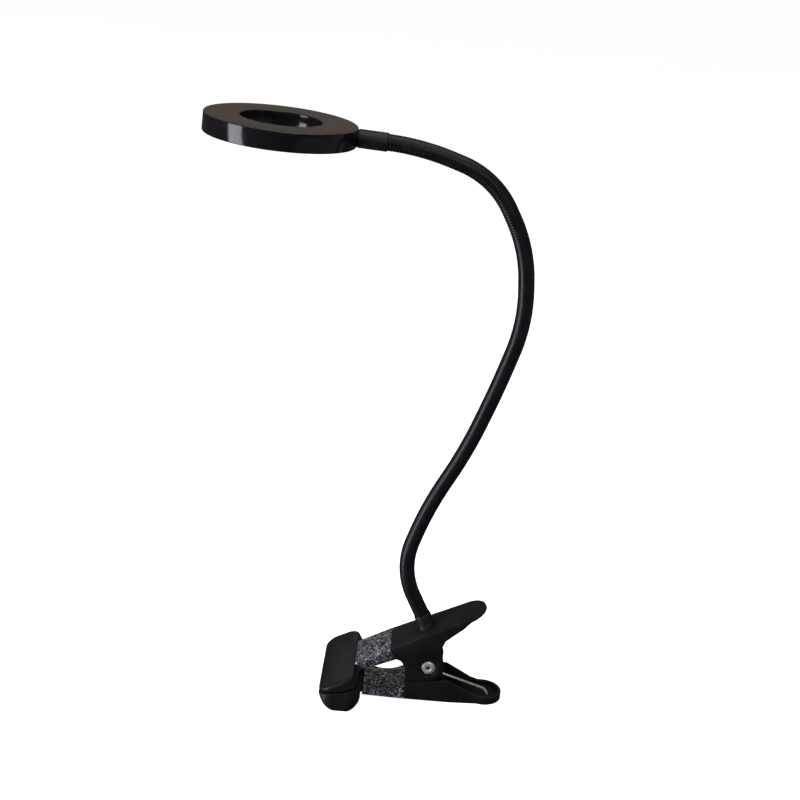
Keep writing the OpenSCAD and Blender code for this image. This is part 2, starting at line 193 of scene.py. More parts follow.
def close_up(piece: Piece, distance: float = 2e-6) -> None:
    """Merges doubled points and turns all faces outwards."""
    make_active(piece)
    bpy.ops.object.mode_set(mode="EDIT")
    bpy.ops.mesh.select_all(action="SELECT")
    bpy.ops.mesh.remove_doubles(threshold=distance)
    bpy.ops.mesh.normals_make_consistent(inside=False)
    bpy.ops.object.mode_set(mode="OBJECT")


def turned(name: str, outline: Outline, along: Along, place: Matrix, steps: int = 96) -> Piece:
    """Turns a closed outline about an axis, as on a lathe.

    Args:
        name: The piece's name.
        outline: Points of (radius, distance along the axis), in order.
        along: The axis in the piece's own frame.
        place: That frame.
        steps: Faces round the axis.

    Returns:
        The closed mesh, in place.
    """
    bpy.ops.object.select_all(action="DESELECT")
    bpy.ops.mesh.primitive_circle_add(vertices=len(outline), radius=MM, fill_type="NOTHING")
    piece = newest(name)
    for point, (radius, height) in zip(piece.data.vertices, outline):
        point.co = (radius, 0, height)
    bpy.ops.object.mode_set(mode="EDIT")
    bpy.ops.mesh.select_all(action="SELECT")
    bpy.ops.mesh.spin(steps=steps, angle=math.tau, center=(0, 0, 0), axis=(0, 0, 1))
    bpy.ops.object.mode_set(mode="OBJECT")
    close_up(piece)
    settle(piece, place @ along.turn())
    return piece


def from_node(name: str, node: str) -> Piece:
    """A piece with the shape of a CAD node, merged into clean faces that can be rounded.

    Args:
        name: The piece's name.
        node: The CAD node.

    Returns:
        The new piece. The node itself is left alone.
    """
    piece = bpy.data.objects.new(name, frame["nodes"][node].data.copy())
    bpy.context.scene.collection.objects.link(piece)
    piece.data.materials.clear()
    make_active(piece)
    bpy.ops.object.mode_set(mode="EDIT")
    bpy.ops.mesh.select_all(action="SELECT")
    bpy.ops.mesh.remove_doubles(threshold=WELD)
    bpy.ops.mesh.dissolve_limited(angle_limit=math.radians(FLAT_ANGLE))
    bpy.ops.object.mode_set(mode="OBJECT")
    return piece


def wire(name: str, points: Sequence[Vector], radius: float, corner: float = 40.0) -> Piece:
    """A round wire along a path, as a closed mesh.

    Args:
        name: The piece's name.
        points: The path.
        radius: Half of the wire's thickness.
        corner: The least angle, in degrees, of an edge that stays sharp.

    Returns:
        The mesh.
    """
    curve = bpy.data.curves.new(name, "CURVE")
    curve.dimensions = "3D"
    curve.bevel_depth = radius
    curve.bevel_resolution = 4
    curve.use_fill_caps = True
    line = curve.splines.new("POLY")
    line.points.add(len(points) - 1)
    for spot, point in zip(line.points, points):
        spot.co = (*point, 1)
    piece = bpy.data.objects.new(name, curve)
    bpy.context.scene.collection.objects.link(piece)
    make_active(piece)
    bpy.ops.object.convert(target="MESH")
    piece = newest(name)
    close_up(piece)
    bpy.ops.object.shade_smooth_by_angle(angle=math.radians(corner))
    return piece


def dress(piece: Piece, *finishes: bpy.types.Material) -> None:
    """Gives a piece its materials, in the order of its faces' material numbers."""
    piece.data.materials.clear()
    for finish in finishes:
        piece.data.materials.append(finish)


def report(piece: Piece) -> Piece:
    """Logs a finished piece with its count of faces."""
    log.info("%s: %d faces", piece.name, len(piece.data.polygons))
    return piece


def middle(node: str) -> Vector:
    """The middle of a CAD node's box."""
    low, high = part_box(node)
    return (low + high) / 2


def joint_place(name: str) -> Vector:
    """Where a joint of the frame is."""
    found = next(joint for joint in frame["joints"] if joint["name"] == name)
    return Vector(found["pos_m"])


def frame_xz(place: Vector, angle: float) -> Matrix:
    """A frame at a point, turned in the XZ plane by an angle in degrees, from +X to +Z."""
    return Matrix.Translation(place) @ Matrix.Rotation(math.radians(-angle), 4, "Y")


# ---- finishes ----


class NodeSheet:
    """A material's nodes, laid out and linked one after the other."""

    def __init__(self, name: str) -> None:
        """Starts a material that holds a Principled shader and Object coordinates."""
        self.material = bpy.data.materials.new(name)
        self.material.use_nodes = True
        self.tree = self.material.node_tree
        self.tree.nodes.clear()
        self.output = self.add("ShaderNodeOutputMaterial")
        self.shader = self.add("ShaderNodeBsdfPrincipled")
        self.join(self.shader, "BSDF", self.output, "Surface")
        self.place = self.add("ShaderNodeTexCoord")

    def add(self, kind: str, **settings: object) -> bpy.types.Node:
        """Adds a node; each setting is a property, or else the value of the input of that name.

        Args:
            kind: Blender's name for the node's type.
            **settings: Properties and inputs, with underscores for spaces.

        Returns:
            The node.
        """
        node = self.tree.nodes.new(kind)
        for key, value in settings.items():
            if hasattr(node, key):
                setattr(node, key, value)
            else:
                node.inputs[key.replace("_", " ")].default_value = value
        return node

    def join(self, source: bpy.types.Node, out: str, target: bpy.types.Node, into: str) -> None:
        """Links an output to an input, both by name."""
        self.tree.links.new(source.outputs[out], target.inputs[into])

    def noise(self, scale: float, detail: float = 3.0, roughness: float = 0.55) -> bpy.types.Node:
        """A noise texture on Object coordinates, `scale` features to the metre."""
        node = self.add("ShaderNodeTexNoise", Scale=scale, Detail=detail, Roughness=roughness)
        self.join(self.place, "Object", node, "Vector")
        return node

    def cells(self, scale: float) -> bpy.types.Node:
        """A Voronoi texture on Object coordinates, `scale` cells to the metre."""
        node = self.add("ShaderNodeTexVoronoi", Scale=scale)
        self.join(self.place, "Object", node, "Vector")
        return node

    def ramp(self, source: bpy.types.Node, out: str,
             stops: Sequence[tuple[float, Colour]]) -> bpy.types.Node:
        """A colour ramp over a texture's output.

        Args:
            source: The texture.
            out: Its output's name.
            stops: Positions from 0 to 1, and their colours.

        Returns:
            The ramp's node, whose output is Color.
        """
        node = self.add("ShaderNodeValToRGB")
        marks = node.color_ramp.elements
        while len(marks) < len(stops):
            marks.new(0.5)
        for mark, (position, colour) in zip(marks, stops):
            mark.position = position
            mark.color = (*colour, 1)
        self.join(source, out, node, "Fac")
        return node

    def spread(self, source: bpy.types.Node, out: str, low: float, high: float) -> bpy.types.Node:
        """Maps a texture's middle range to values from low to high; the output is Result."""
        node = self.add("ShaderNodeMapRange", From_Min=0.3, From_Max=0.7, To_Min=low, To_Max=high)
        self.join(source, out, node, "Value")
        return node

    def relief(self, source: bpy.types.Node, out: str, depth: float,
               under: bpy.types.Node | None = None) -> bpy.types.Node:
        """Bumps the surface by a texture.

        Args:
            source: The texture.
            out: Its output's name.
            depth: The relief's depth.
            under: A bump on which this one lies, or None.

        Returns:
            The bump's node.
        """
        node = self.add("ShaderNodeBump", Strength=1.0, Distance=depth)
        self.join(source, out, node, "Height")
        if under:
            self.join(under, "Normal", node, "Normal")
        return node


@dataclass(frozen=True)
class Finish:
    """A surface of two mixed tones, with a roughness that wanders and a fine grain.

    Attributes:
        name: The material's name.
        tone: The darker tone.
        second: The lighter tone.
        roughness: The least and the most roughness.
        blotch: How many patches of tone there are to the metre.
        grain: How many grains there are to the metre.
        depth: The grain's depth.
        metallic: 1 for bare metal.
        specular: The strength of the reflection that faces the viewer.
        coat: The strength of a clear coat.
        edge_wear_and_highlight: How much lighter the edges are: partly wear from handling, partly a
            painted highlight where light catches the edges.
        clear: How much light goes through.
        tone_span: Where in the noise the two tones lie.
        edge_span: The pointiness at which the lighter edges begin and are full.
    """

    name: str
    tone: Colour
    second: Colour
    roughness: tuple[float, float]
    blotch: float = 70.0
    grain: float = 2200.0
    depth: float = 0.02 * MM
    metallic: float = 0.0
    specular: float = 0.5
    coat: float = 0.0
    edge_wear_and_highlight: float = 0.0
    clear: float = 0.0
    tone_span: tuple[float, float] = (0.35, 0.68)
    edge_span: tuple[float, float] = (0.5, 0.62)

    def make(self) -> bpy.types.Material:
        """Builds the material."""
        sheet = NodeSheet(self.name)
        shader = sheet.shader
        shader.inputs["Metallic"].default_value = self.metallic
        shader.inputs["Specular IOR Level"].default_value = self.specular
        shader.inputs["Coat Weight"].default_value = self.coat
        shader.inputs["Transmission Weight"].default_value = self.clear
        patches = sheet.noise(self.blotch)
        dark, light = self.tone_span
        tones = sheet.ramp(patches, "Fac", [(dark, self.tone), (light, self.second)])
        sheet.join(self.lighten_edges(sheet, tones), "Color", shader, "Base Color")
        fine = sheet.noise(self.grain, detail=2.0)
        rough = sheet.spread(patches, "Fac", *self.roughness)
        sheet.join(rough, "Result", shader, "Roughness")
        sheet.join(sheet.relief(fine, "Fac", self.depth), "Normal", shader, "Normal")
        return sheet.material

    def lighten_edges(self, sheet: NodeSheet, tones: bpy.types.Node) -> bpy.types.Node:
        """Lightens the edges, partly as wear from handling and partly as a painted highlight where
        light catches them, if the finish asks for it.
        """
        if not self.edge_wear_and_highlight:
            return tones
        shape = sheet.add("ShaderNodeNewGeometry")
        begin, full = self.edge_span
        # Lighter edges by pointiness: partly wear, partly a painted highlight where light catches
        # the edges.
        edges = sheet.ramp(shape, "Pointiness", [(begin, (0, 0, 0)), (full, (self.edge_wear_and_highlight,) * 3)])
        mixed = sheet.add("ShaderNodeMixRGB", blend_type="ADD", Fac=1.0)
        sheet.join(tones, "Color", mixed, "Color1")
        sheet.join(edges, "Color", mixed, "Color2")
        return mixed


@dataclass(frozen=True)
class SpeckledFinish:
    """Glittering flakes of silver and slate in a dark ground, each flake at its own tilt.

    Attributes:
        name: The material's name.
        flakes: How many flakes there are to the metre.
        tones: The flakes' tones, from dark to bright.
        depth: How far the flakes stand proud.
        first_stop: Where in the flakes' random values the darkest tone lies.
        stop_gap: How far apart the tones lie in those values.
        bare: The least and the most of bare metal in a flake.
        roughness: The least and the most roughness.
        specular: The strength of the reflection that faces the viewer.
        crumbs: How many crumbs there are to each flake's width.
    """

    name: str
    flakes: float = 1100.0
    tones: tuple[Colour, ...] = (
        (0.01, 0.01, 0.013), (0.05, 0.053, 0.065), (0.28, 0.3, 0.34), (0.9, 0.93, 1.0))
    depth: float = 0.16 * MM
    first_stop: float = 0.15
    stop_gap: float = 0.24
    bare: tuple[float, float] = (0.75, 1.0)
    roughness: tuple[float, float] = (0.3, 0.5)
    specular: float = 0.6
    crumbs: float = 0.8

    def make(self) -> bpy.types.Material:
        """Builds the material."""
        sheet = NodeSheet(self.name)
        shader = sheet.shader
        shader.inputs["Specular IOR Level"].default_value = self.specular
        flakes = sheet.cells(self.flakes)
        stops = [(self.first_stop + self.stop_gap * place, tone)
                 for place, tone in enumerate(self.tones)]
        tones = sheet.ramp(flakes, "Color", stops)
        sheet.join(tones, "Color", shader, "Base Color")
        bare = sheet.spread(flakes, "Color", *self.bare)
        sheet.join(bare, "Result", shader, "Metallic")
        rough = sheet.spread(flakes, "Distance", *self.roughness)
        sheet.join(rough, "Result", shader, "Roughness")
        crumbs = sheet.noise(self.flakes * self.crumbs, detail=4.0)
        under = sheet.relief(crumbs, "Fac", self.depth)
        sheet.join(sheet.relief(flakes, "Color", self.depth, under), "Normal", shader, "Normal")
        return sheet.material


@dataclass(frozen=True)
class Finishes:
    """All of the lamp's finishes, made once."""

    rim: bpy.types.Material
    ring_top: bpy.types.Material
    board: bpy.types.Material
    led: bpy.types.Material
    chip: bpy.types.Material
    diffuser: bpy.types.Material
    fastener: bpy.types.Material
    ferrule: bpy.types.Material
    lead: bpy.types.Material
    neck: bpy.types.Material
    clip: bpy.types.Material
    pad: bpy.types.Material
    speckle: bpy.types.Material
    rivet: bpy.types.Material
    spring: bpy.types.Material
    grommet: bpy.types.Material

    @classmethod
    def build(cls) -> "Finishes":
        """Makes every material."""
        return cls(
            rim=Finish("gloss_rim", (0.0042, 0.0036, 0.0044), (0.0052, 0.0046, 0.0055), (0.1, 0.16),
                       grain=900, depth=0.003 * MM, specular=0.2).make(),
            # The ring's top is the same black plastic as the rim; its lighter brown tone is painted
            # light from overhead.
            ring_top=Finish("satin_ring_top", (0.024, 0.02, 0.017), (0.032, 0.028, 0.024),
                            (0.26, 0.34), grain=2600, depth=0.008 * MM, specular=0.5).make(),
            board=Finish("white_solder_mask", (0.72, 0.72, 0.68), (0.84, 0.84, 0.8), (0.35, 0.5),
                         blotch=240, grain=1500, depth=0.02 * MM).make(),
            led=Finish("pale_diode", (0.8, 0.68, 0.32), (0.95, 0.88, 0.6), (0.2, 0.35),
                       blotch=600, grain=3000, depth=0.01 * MM).make(),
            chip=Finish("black_chip", (0.012, 0.012, 0.013), (0.03, 0.03, 0.032), (0.35, 0.5),
                        blotch=900, grain=4000).make(),
            diffuser=Finish("frosted_diffuser", (0.66, 0.69, 0.78), (0.78, 0.81, 0.88),
                            (0.45, 0.6), blotch=120, grain=3500, depth=0.03 * MM,
                            clear=0.35).make(),
            fastener=Finish("bright_zinc", (0.42, 0.41, 0.38), (0.6, 0.59, 0.55), (0.22, 0.38),
                            blotch=500, grain=3500, depth=0.006 * MM, metallic=1).make(),
            # The ferrule's lighter edges are partly wear, partly a painted highlight where light
            # catches them.
            ferrule=Finish("satin_black_ferrule", (0.0035, 0.0033, 0.0045), (0.0065, 0.006, 0.008),
                           (0.4, 0.5), blotch=160, grain=2600, depth=0.012 * MM,
                           specular=0.2, edge_wear_and_highlight=0.004).make(),
            lead=Finish("red_insulation", (0.32, 0.03, 0.02), (0.46, 0.06, 0.04), (0.4, 0.55),
                        blotch=200, grain=1800).make(),
            neck=Finish("black_neck_skin", (0.0035, 0.0035, 0.0045), (0.006, 0.006, 0.0075),
                        (0.3, 0.4), blotch=120, grain=2400, depth=0.008 * MM,
                        specular=0.14).make(),
            # The clip's lighter edges are partly a painted highlight where light catches the
            # moulded edges, partly wear.
            clip=Finish("moulded_black", (0.0036, 0.0033, 0.0042), (0.0056, 0.0053, 0.0064),
                        (0.36, 0.48), blotch=90, grain=3200, depth=0.02 * MM,
                        specular=0.13, edge_wear_and_highlight=0.008).make(),
            pad=Finish("grooved_rubber", (0.018, 0.018, 0.018), (0.034, 0.034, 0.034),
                       (0.7, 0.85), grain=2600, depth=0.05 * MM, specular=0.25).make(),
            speckle=SpeckledFinish("speckled_sleeve").make(),
            rivet=Finish("satin_rivet", (0.4, 0.38, 0.355), (0.5, 0.485, 0.455), (0.3, 0.42),
                         blotch=400, grain=3000, depth=0.01 * MM, metallic=0.6).make(),
            spring=Finish("drawn_wire", (0.5, 0.46, 0.36), (0.68, 0.63, 0.52), (0.25, 0.38),
                          blotch=300, grain=2600, depth=0.008 * MM, metallic=0.85).make(),
            grommet=Finish("black_rubber", (0.008, 0.008, 0.008), (0.016, 0.016, 0.016),
                           (0.6, 0.75), grain=2400, depth=0.03 * MM, specular=0.25).make(),
        )


# ---- sub-assemblies ----


@dataclass
class RingHead:
    """The ring head: its channel, diffuser and collar, and the board's pieces inside.

    Its frame has its origin in the ring's middle, x towards the gooseneck and z up.
    """

    finishes: Finishes
    tilt: float = -3.4
    outer_r: float = 40.0 * MM
    hole_r: float = 21.3 * MM
    height: float = 9.8 * MM
    wall: float = 1.6 * MM
    edge: float = 0.45 * MM
    neck_r: float = 4.4 * MM
    collar_len: float = 16.0 * MM
    cup_len: float = 8.0 * MM
    spigot_r: float = 2.2 * MM
    spigot_len: float = 4.4 * MM
    bore_r: float = 1.5 * MM
    rim_gap: float = 0.05 * MM
    seat_step: float = 0.2 * MM
    body_step: float = 0.5 * MM
    cup_gap: float = 0.03 * MM
    collar_edge: float = 0.12 * MM
    diffuser_lift: float = 0.3 * MM
    diffuser_t: float = 1.5 * MM
    diffuser_gap: float = 0.1 * MM
    diffuser_lip: float = 1.4 * MM
    diffuser_step: float = 0.25 * MM
    diffuser_edge: float = 0.1 * MM
    ring_steps: int = 192
    facing_up: float = 0.9

    def place(self) -> Matrix:
        """The head's frame."""
        return frame_xz(middle("head_housing"), self.tilt)

    def build(self) -> None:
        """Makes the head's pieces."""
        self.housing()
        self.diffuser()
        self.collar()
        kept = {
            "led_board": (self.finishes.board, Slot.BOARD),
            "uv_leds": (self.finishes.led, Slot.LED),
            "chip_resistors": (self.finishes.chip, Slot.CHIP),
            "board_screws": (self.finishes.fastener, Slot.FASTENER),
            "ferrule_nut": (self.finishes.fastener, Slot.FASTENER),
            "head_lead": (self.finishes.lead, Slot.LEAD),
        }
        for node, (finish, slot) in kept.items():
            dress(frame["nodes"][node], finish)
            report(frame["nodes"][node])

    def housing(self) -> None:
        """The channel: glossy round its rim and hole, satin on top, where a lighter brown tone
        paints the overhead light on the same black plastic.
        """
        top = self.height / 2
        roof = top - self.wall
        inner = self.hole_r + self.wall
        outer = self.outer_r - self.wall
        outline = [
            (self.hole_r, top), (self.outer_r, top), (self.outer_r, -top), (outer, -top),
            (outer, roof), (inner, roof), (inner, -top), (self.hole_r, -top),
        ]
        piece = turned("ring_housing", outline, Along.Z, self.place(), steps=self.ring_steps)
        soften_edges(piece, self.edge)
        dress(piece, self.finishes.rim, self.finishes.ring_top)
        up = self.place().to_3x3() @ Vector((0, 0, 1))
        centre = middle("head_housing")
        # Upward faces on top take the lighter tone, which is painted light from overhead.
        for face in piece.data.polygons:
            level = (face.center - centre) @ up
            is_top = face.normal @ up > self.facing_up and level > roof
            face.material_index = 1 if is_top else 0
        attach(piece, "head")
        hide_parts("head_housing")
        report(piece)

    def diffuser(self) -> None:
        """The frosted ring under the diodes, with a shallow step inside each edge."""
        low = -self.height / 2 + self.diffuser_lift
        high = low + self.diffuser_t
        inner = self.hole_r + self.wall + self.diffuser_gap
        outer = self.outer_r - self.wall - self.diffuser_gap
        lip = self.diffuser_lip
        step = self.diffuser_step
        outline = [
            (inner, high), (outer, high), (outer, low + step), (outer - lip, low + step),
            (outer - lip, low), (inner + lip, low), (inner + lip, low + step), (inner, low + step),
        ]
        piece = turned("frosted_ring", outline, Along.Z, self.place(), steps=self.ring_steps)
        soften_edges(piece, self.diffuser_edge, segments=2)
        dress(piece, self.finishes.diffuser)
        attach(piece, "head")
        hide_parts("diffuser_ring")
        report(piece)

    def collar(self) -> None:
        """The collar on the rim, with its spigot through the wall and its cup for the neck."""
        rim = self.outer_r
        end = rim + self.collar_len
        cup = end - self.cup_len
        body_r = self.neck_r + self.body_step
        seat_r = self.neck_r + self.seat_step
        cup_r = self.neck_r + self.cup_gap
        outline = [
            (self.bore_r, rim - self.spigot_len), (self.spigot_r, rim - self.spigot_len),
            (self.spigot_r, rim + self.rim_gap), (seat_r, rim + self.rim_gap),
            (seat_r, rim + 0.5 * MM),
            (body_r, rim + 0.9 * MM), (body_r, end - 0.5 * MM), (body_r - 0.35 * MM, end),
            (cup_r, end), (cup_r, cup), (self.bore_r, cup),
        ]
        piece = turned("rim_collar", outline, Along.X, self.place())
        soften_edges(piece, self.collar_edge, segments=2)
        dress(piece, self.finishes.ferrule)
        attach(piece, "head")
        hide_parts("head_ferrule")
        report(piece)


@dataclass
class Gooseneck:
    """The ribbed neck, cut halfway along each stiff link so that every piece spans one joint."""

    finishes: Finishes
    radius: float = 4.4 * MM
    wall: float = 1.7 * MM
    rib_depth: float = 0.16 * MM
    groove_power: int = 3
    ribs_per_link: int = 25
    steps_per_rib: int = 6
    sides: int = 40
    link: float = 40.0 * MM
    straight: float = 5.0 * MM
    root: float = 14.0 * MM
    tail: float = 7.8 * MM
    reach: float = 15.0 * MM
    boot_reach: float = 6.5 * MM
    path_step: float = 1.0 * MM
    first_heading: float = 117.0
    turns: tuple[float, ...] = (-44.8, -9.7, 7.5, 3.3, 21.1, 24.6, 42.5, 15.1)

    def heading(self, link: int) -> float:
        """The angle at which a link starts, in degrees from +X to +Z; links count from 0."""
        return self.first_heading + sum(self.turns[:link])

    def step_along(self, link: int, done: float) -> Vector:
        """How far one gets from a link's start after `done` metres of it."""
        start = math.radians(self.heading(link))
        if done <= self.straight:
            return Vector((math.cos(start), 0, math.sin(start))) * done
        share = (done - self.straight) / (self.link - self.straight)
        turn = math.radians(self.turns[link]) * share
        arc = done - self.straight
        chord = arc * math.sin(turn / 2) / (turn / 2) if abs(turn) > EPS else arc
        ahead = start + turn / 2
        corner = Vector((math.cos(start), 0, math.sin(start))) * self.straight
        return corner + Vector((math.cos(ahead), 0, math.sin(ahead))) * chord

    def point(self, along: float) -> Vector:
        """The point on the neck's middle line at a length from the first joint."""
        start = joint_place("bend_1")
        link = 0
        while along > self.link and link < len(self.turns) - 1:
            start = start + self.step_along(link, self.link)
            along -= self.link
            link += 1
        if along < 0:
            down = math.radians(self.first_heading)
            return start + Vector((math.cos(down), 0, math.sin(down))) * along
        if along <= self.link:
            return start + self.step_along(link, along)
        end = math.radians(self.heading(len(self.turns)))
        past = Vector((math.cos(end), 0, math.sin(end))) * (along - self.link)
        return start + self.step_along(link, self.link) + past

    def path(self) -> Piece:
        """The neck's middle line as a curve, for bending the straight pieces."""
        total = self.root + self.link * len(self.turns) + self.tail
        count = round(total / self.path_step)
        curve = bpy.data.curves.new("neck_path", "CURVE")
        curve.dimensions = "3D"
        curve.twist_mode = "MINIMUM"
        curve.use_deform_bounds = False
        line = curve.splines.new("POLY")
        line.points.add(count)
        for step, spot in enumerate(line.points):
            spot.co = (*self.point(total * step / count - self.root), 1)
        guide = bpy.data.objects.new("neck_path", curve)
        bpy.context.scene.collection.objects.link(guide)
        return guide

    def straight_stretch(self, name: str, start: float, end: float) -> Piece:
        """A straight ribbed tube along +X, between two lengths from the first joint."""
        length = end - start
        bpy.ops.object.select_all(action="DESELECT")
        bpy.ops.mesh.primitive_cylinder_add(
            vertices=self.sides, radius=self.radius, depth=length, end_fill_type="NOTHING",
            rotation=(0, math.radians(90), 0), location=(self.root + start + length / 2, 0, 0))
        piece = newest(name)
        bpy.ops.object.transform_apply(location=True, rotation=True, scale=True)
        pitch = self.link / self.ribs_per_link
        cuts = max(round(length / pitch * self.steps_per_rib) - 1, 1)
        bpy.ops.object.mode_set(mode="EDIT")
        select_edges(piece, lambda edge: abs(edge.verts[0].co.x - edge.verts[1].co.x) > length / 2)
        bpy.ops.mesh.subdivide(number_cuts=cuts)
        bpy.ops.object.mode_set(mode="OBJECT")
        for point in piece.data.vertices:
            self.cut_groove(point, pitch)
        apply_modifier(piece, "SOLIDIFY", thickness=self.wall, offset=-1, use_rim=True)
        close_up(piece)
        return piece

    def cut_groove(self, point: bpy.types.MeshVertex, pitch: float) -> None:
        """Moves a point inwards where the helical groove between the ribs runs."""
        turn = math.atan2(point.co.z, point.co.y)
        phase = math.tau * point.co.x / pitch - turn
        depth = self.rib_depth * max(0.0, math.cos(phase)) ** self.groove_power
        shrink = 1 - depth / self.radius
        point.co.y *= shrink
        point.co.z *= shrink

    def build(self) -> None:
        """Makes the bending stretches and the stiff end, and dresses the lead inside."""
        guide = self.path()
        for joint in range(len(self.turns)):
            pivot = joint * self.link
            start = -self.root if joint == 0 else pivot - self.link / 2
            piece = self.straight_stretch(f"neck_stretch_{joint + 1}", start, pivot + self.link / 2)
            self.bend_to(piece, guide)
            before = pivot - (self.boot_reach if joint == 0 else self.reach)
            after = pivot + self.reach
            self.point(before)
            self.point(after)
            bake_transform(piece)
            stood_for = [f"gooseneck_link_{joint + 1}"] + (["gooseneck_root"] if joint == 0 else [])
            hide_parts(*stood_for)
            report(piece)
        last = self.link * len(self.turns)
        end = self.straight_stretch("neck_stretch_end", last - self.link / 2, last + self.tail)
        self.bend_to(end, guide)
        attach(end, "head")
        report(end)
        bpy.data.objects.remove(guide)
        leads = ["lead_root", *[f"lead_{k + 1}" for k in range(len(self.turns))]]
        for node in leads:
            dress(frame["nodes"][node], self.finishes.lead)
            report(frame["nodes"][node])

    def bend_to(self, piece: Piece, guide: Piece) -> None:
        """Bends a straight stretch along the neck's line and finishes its surface."""
        apply_modifier(piece, "CURVE", object=guide, deform_axis="POS_X")
        make_active(piece)
        bpy.ops.object.shade_smooth_by_angle(angle=math.radians(SMOOTH_ANGLE))
        dress(piece, self.finishes.neck)


@dataclass
class Clip:
    """The spring clip: two jaws with pads and sleeves, a rivet, a spring and the neck's fitting."""

    finishes: Finishes
    upper_tilt: float = 27.0
    plate_n: float = 19.75 * MM
    plate_t: float = 2.2 * MM
    base_s: float = 7.4 * MM
    neck_r: float = 4.4 * MM
    stub_r: float = 3.9 * MM
    stub_len: float = 6.6 * MM
    lead_bore_r: float = 2.6 * MM
    boot_len: float = 8.45 * MM
    edge: float = 0.45 * MM
    nose_n: float = 19.0 * MM
    nose_back: float = -38.0 * MM
    foot_band: float = 8.0 * MM
    foot_back: float = 10.0 * MM
    arm_half: float = 14.0 * MM
    handle_start: float = 11.0 * MM
    upper_round: float = 1.5 * MM
    lower_round: float = 1.0 * MM
    round_angle: float = 38.0
    round_segments: int = 5
    level_slack: float = 0.1 * MM
    sleeve_edge: float = 0.2 * MM
    boot_seat: float = 0.05 * MM
    boot_floor: float = 1.95 * MM
    boot_edge: float = 0.15 * MM
    skirt_step: float = 1.2 * MM
    body_step: float = 0.45 * MM
    cup_gap: float = 0.03 * MM
    rivet_r: float = 2.5 * MM
    rivet_head_r: float = 4.3 * MM
    rivet_reach: float = 11.0 * MM
    rivet_dome: float = 1.4 * MM
    rivet_bore_r: float = 1.3 * MM
    wire_r: float = 0.8 * MM
    coil_r: float = 4.6 * MM
    coil_half: float = 3.4 * MM
    coil_turns: int = 4
    coil_steps: int = 32
    leg_gap: float = 0.3 * MM
    upper_leg_s: float = 30 * MM
    hook_end: tuple[float, float] = (82.4 * MM, 6.6 * MM)
    hook_tip_x: float = 83.9 * MM
    hook_gap: float = 0.2 * MM
    hook_bend: float = 0.45
    leg_start: float = 0.03

    def rivet_place(self) -> Vector:
        """The rivet's middle, which is the jaws' pivot."""
        return joint_place("jaw_pivot")

    def from_upper(self, s: float, n: float) -> Vector:
        """A point in the upper jaw's frame: s along its plate and n square to it."""
        return frame_xz(self.rivet_place(), self.upper_tilt) @ Vector((s, 0, n))

    def build(self) -> None:
        """Makes the clip's pieces."""
        self.jaw("upper_jaw", "upper", "upper_jaw_shell")
        self.jaw("lower_jaw", "lower", "lower_jaw_shell")
        self.sleeve("upper_sleeve", "upper", "upper_wrap")
        self.sleeve("lower_sleeve", "lower", "lower_wrap")
        self.boot()
        self.rivet()
        self.spring()
        kept = {
            "base_washer": (self.finishes.fastener, Slot.FASTENER),
            "base_nut": (self.finishes.fastener, Slot.FASTENER),
            "cord_grommet": (self.finishes.grommet, Slot.GROMMET),
            "upper_grip_pad": (self.finishes.pad, Slot.PAD),
            "lower_grip_pad": (self.finishes.pad, Slot.PAD),
        }
        for node, (finish, slot) in kept.items():
            dress(frame["nodes"][node], finish)
            report(frame["nodes"][node])

    def jaw(self, node: str, body: str, name: str) -> None:
        """A jaw with its moulded edges rounded, those of its nose more than the rest."""
        piece = from_node(name, node)
        self.round_nose(piece, body)
        soften_edges(piece, self.edge, angle=25)
        dress(piece, self.finishes.clip)
        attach(piece, body)
        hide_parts(node)
        report(piece)

    def round_nose(self, piece: Piece, body: str) -> None:
        """Rounds the outer edges round the upper nose's top or the lower nose's foot.

        Args:
            piece: The jaw.
            body: "upper" or "lower".
        """
        into_upper = frame_xz(self.rivet_place(), self.upper_tilt).inverted()

        def outer(edge: bmesh.types.BMEdge) -> bool:
            """Whether an edge is one of those."""
            least = math.radians(self.round_angle)
            if len(edge.link_faces) != 2 or edge.calc_face_angle_signed() < least:
                return False
            ends = [vert.co for vert in edge.verts]
            if body == "lower":
                by_arm = any(end.x > self.foot_back and abs(end.y) < self.arm_half for end in ends)
                return all(end.z < self.foot_band for end in ends) and not by_arm and all(
                    end.x < self.handle_start for end in ends)
            ends = [into_upper @ end for end in ends]
            level = all(abs(end.z - self.nose_n) < self.level_slack for end in ends)
            return level and min(end.x for end in ends) < self.nose_back

        make_active(piece)
        bpy.ops.object.mode_set(mode="EDIT")
        found = select_edges(piece, outer)
        width = self.upper_round if body == "upper" else self.lower_round
        bpy.ops.mesh.bevel(offset=width, segments=self.round_segments, affect="EDGES")
        bpy.ops.object.mode_set(mode="OBJECT")
        log.info("%s: %d nose edges rounded", piece.name, found)

    def sleeve(self, node: str, body: str, name: str) -> None:
        """A speckled sleeve round an arm."""
        piece = from_node(name, node)
        soften_edges(piece, self.sleeve_edge, segments=2)
        dress(piece, self.finishes.speckle)
        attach(piece, body)
        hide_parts(node)
        report(piece)

    def boot(self) -> None:
        """The boot in which the neck stands, with its stub through the upper plate."""
        place = frame_xz(self.from_upper(self.base_s, self.plate_n), self.upper_tilt)
        seat = self.boot_seat
        floor = self.boot_floor
        skirt_r = self.neck_r + self.skirt_step
        body_r = self.neck_r + self.body_step
        cup_r = self.neck_r + self.cup_gap
        outline = [
            (self.lead_bore_r, -self.stub_len), (self.stub_r, -self.stub_len),
            (self.stub_r, seat), (skirt_r, seat), (skirt_r - 0.1 * MM, seat + 0.8 * MM),
            (body_r + 0.2 * MM, seat + 2.4 * MM), (body_r, seat + 4 * MM),
            (body_r - 0.05 * MM, self.boot_len - 0.8 * MM), (body_r - 0.25 * MM, self.boot_len),
            (cup_r, self.boot_len), (cup_r, floor), (self.lead_bore_r, floor),
        ]
        piece = turned("neck_boot", outline, Along.Z, place)
        soften_edges(piece, self.boot_edge, segments=2)
        dress(piece, self.finishes.ferrule)
        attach(piece, "upper")
        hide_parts("base_ferrule")
        report(piece)

